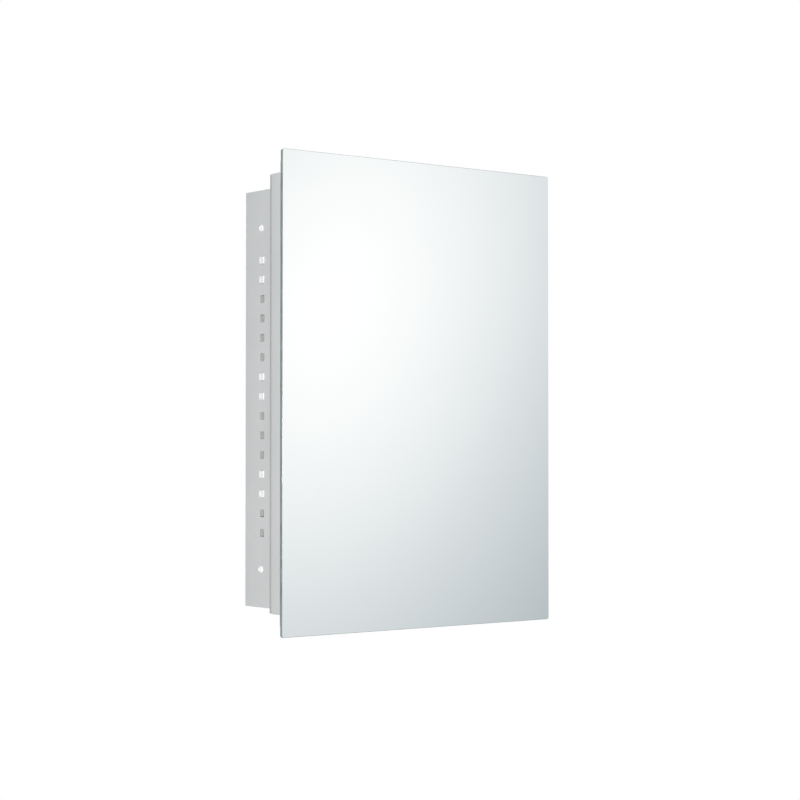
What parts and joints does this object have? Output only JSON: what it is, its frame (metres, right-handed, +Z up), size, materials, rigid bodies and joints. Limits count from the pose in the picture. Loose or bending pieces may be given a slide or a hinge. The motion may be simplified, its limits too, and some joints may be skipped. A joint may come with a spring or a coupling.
{
  "type": "recessed medicine cabinet",
  "caption": "Recessed bathroom cabinet: a steel body with glass shelves, a raised front frame and a frameless mirror door on a piano hinge at the left.",
  "frame": {"origin": "in the plane of the wall's face, behind the centre of the mirror; what has y above 0 is inside the wall", "axes": "+X to the right of someone who looks into the mirror, +Y into the wall, +Z up"},
  "size_m": [0.4064, 0.1198, 0.5588],
  "materials": {
    "body_paint": "light grey baked enamel, satin",
    "door_paint": "mid-grey baked enamel, satin",
    "silvered_glass": "silvered float glass with polished edges",
    "shelf_glass": "clear float glass with bevelled edges",
    "stainless": "brushed",
    "zinc_steel": "zinc plated",
    "white_nylon": "moulded",
    "grey_rubber": "moulded",
    "foam_tape": "closed-cell foam",
    "gasket_foam": "closed-cell foam",
    "ferrite": "sintered ferrite",
    "filler_board": "hardboard"
  },
  "bodies": {
    "cabinet": {"back_panel": "body_paint", "bottom_panel": "body_paint", "catch_housing": "white_nylon", "catch_magnet": "ferrite", "catch_pole_left": "zinc_steel", "catch_pole_right": "zinc_steel", "catch_screw_1": "zinc_steel", "catch_screw_2": "zinc_steel", "frame_rail_bottom": "body_paint", "frame_rail_left": "body_paint", "frame_rail_right": "body_paint", "frame_rail_top": "body_paint", "hinge_leaf_frame": "stainless", "hinge_pin": "stainless", "hinge_screw_1": "stainless", "hinge_screw_2": "stainless", "hinge_screw_3": "stainless", "hinge_screw_4": "stainless", "hinge_screw_5": "stainless", "hole_plug_bottom_left": "white_nylon", "hole_plug_bottom_right": "white_nylon", "hole_plug_top_left": "white_nylon", "hole_plug_top_right": "white_nylon", "left_side_panel": "body_paint", "right_side_panel": "body_paint", "shelf_clip_lower_left": "white_nylon", "shelf_clip_lower_right": "white_nylon", "shelf_clip_middle_left": "white_nylon", "shelf_clip_middle_right": "white_nylon", "shelf_clip_upper_left": "white_nylon", "shelf_clip_upper_right": "white_nylon", "top_panel": "body_paint", "wall_gasket_bottom": "gasket_foam", "wall_gasket_left": "gasket_foam", "wall_gasket_right": "gasket_foam", "wall_gasket_top": "gasket_foam"},
    "door": {"bumper_bottom": "grey_rubber", "bumper_top": "grey_rubber", "door_filler": "filler_board", "door_pan": "door_paint", "hinge_leaf_door": "stainless", "hinge_rivet_1": "stainless", "hinge_rivet_2": "stainless", "hinge_rivet_3": "stainless", "hinge_rivet_4": "stainless", "hinge_rivet_5": "stainless", "mirror_glass": "silvered_glass", "mirror_tape_bottom": "foam_tape", "mirror_tape_left": "foam_tape", "mirror_tape_right": "foam_tape", "mirror_tape_top": "foam_tape", "strike_plate": "zinc_steel", "strike_rivet_1": "zinc_steel", "strike_rivet_2": "zinc_steel"},
    "shelf_upper": {"shelf_upper": "shelf_glass"},
    "shelf_middle": {"shelf_middle": "shelf_glass"},
    "shelf_lower": {"shelf_lower": "shelf_glass"}
  },
  "joints": [
    {"name": "door_hinge", "type": "hinge", "parent": "cabinet", "child": "door", "pos_m": [-0.1868, -0.03, 0], "axis": [0, 0, -1], "range_deg": [0, 120]},
    {"name": "upper_shelf_slide", "type": "slide", "parent": "cabinet", "child": "shelf_upper", "axis": [0, -1, 0], "range_m": [0, 0.026]},
    {"name": "middle_shelf_slide", "type": "slide", "parent": "cabinet", "child": "shelf_middle", "axis": [0, -1, 0], "range_m": [0, 0.026]},
    {"name": "lower_shelf_slide", "type": "slide", "parent": "cabinet", "child": "shelf_lower", "axis": [0, -1, 0], "range_m": [0, 0.026]}
  ]
}
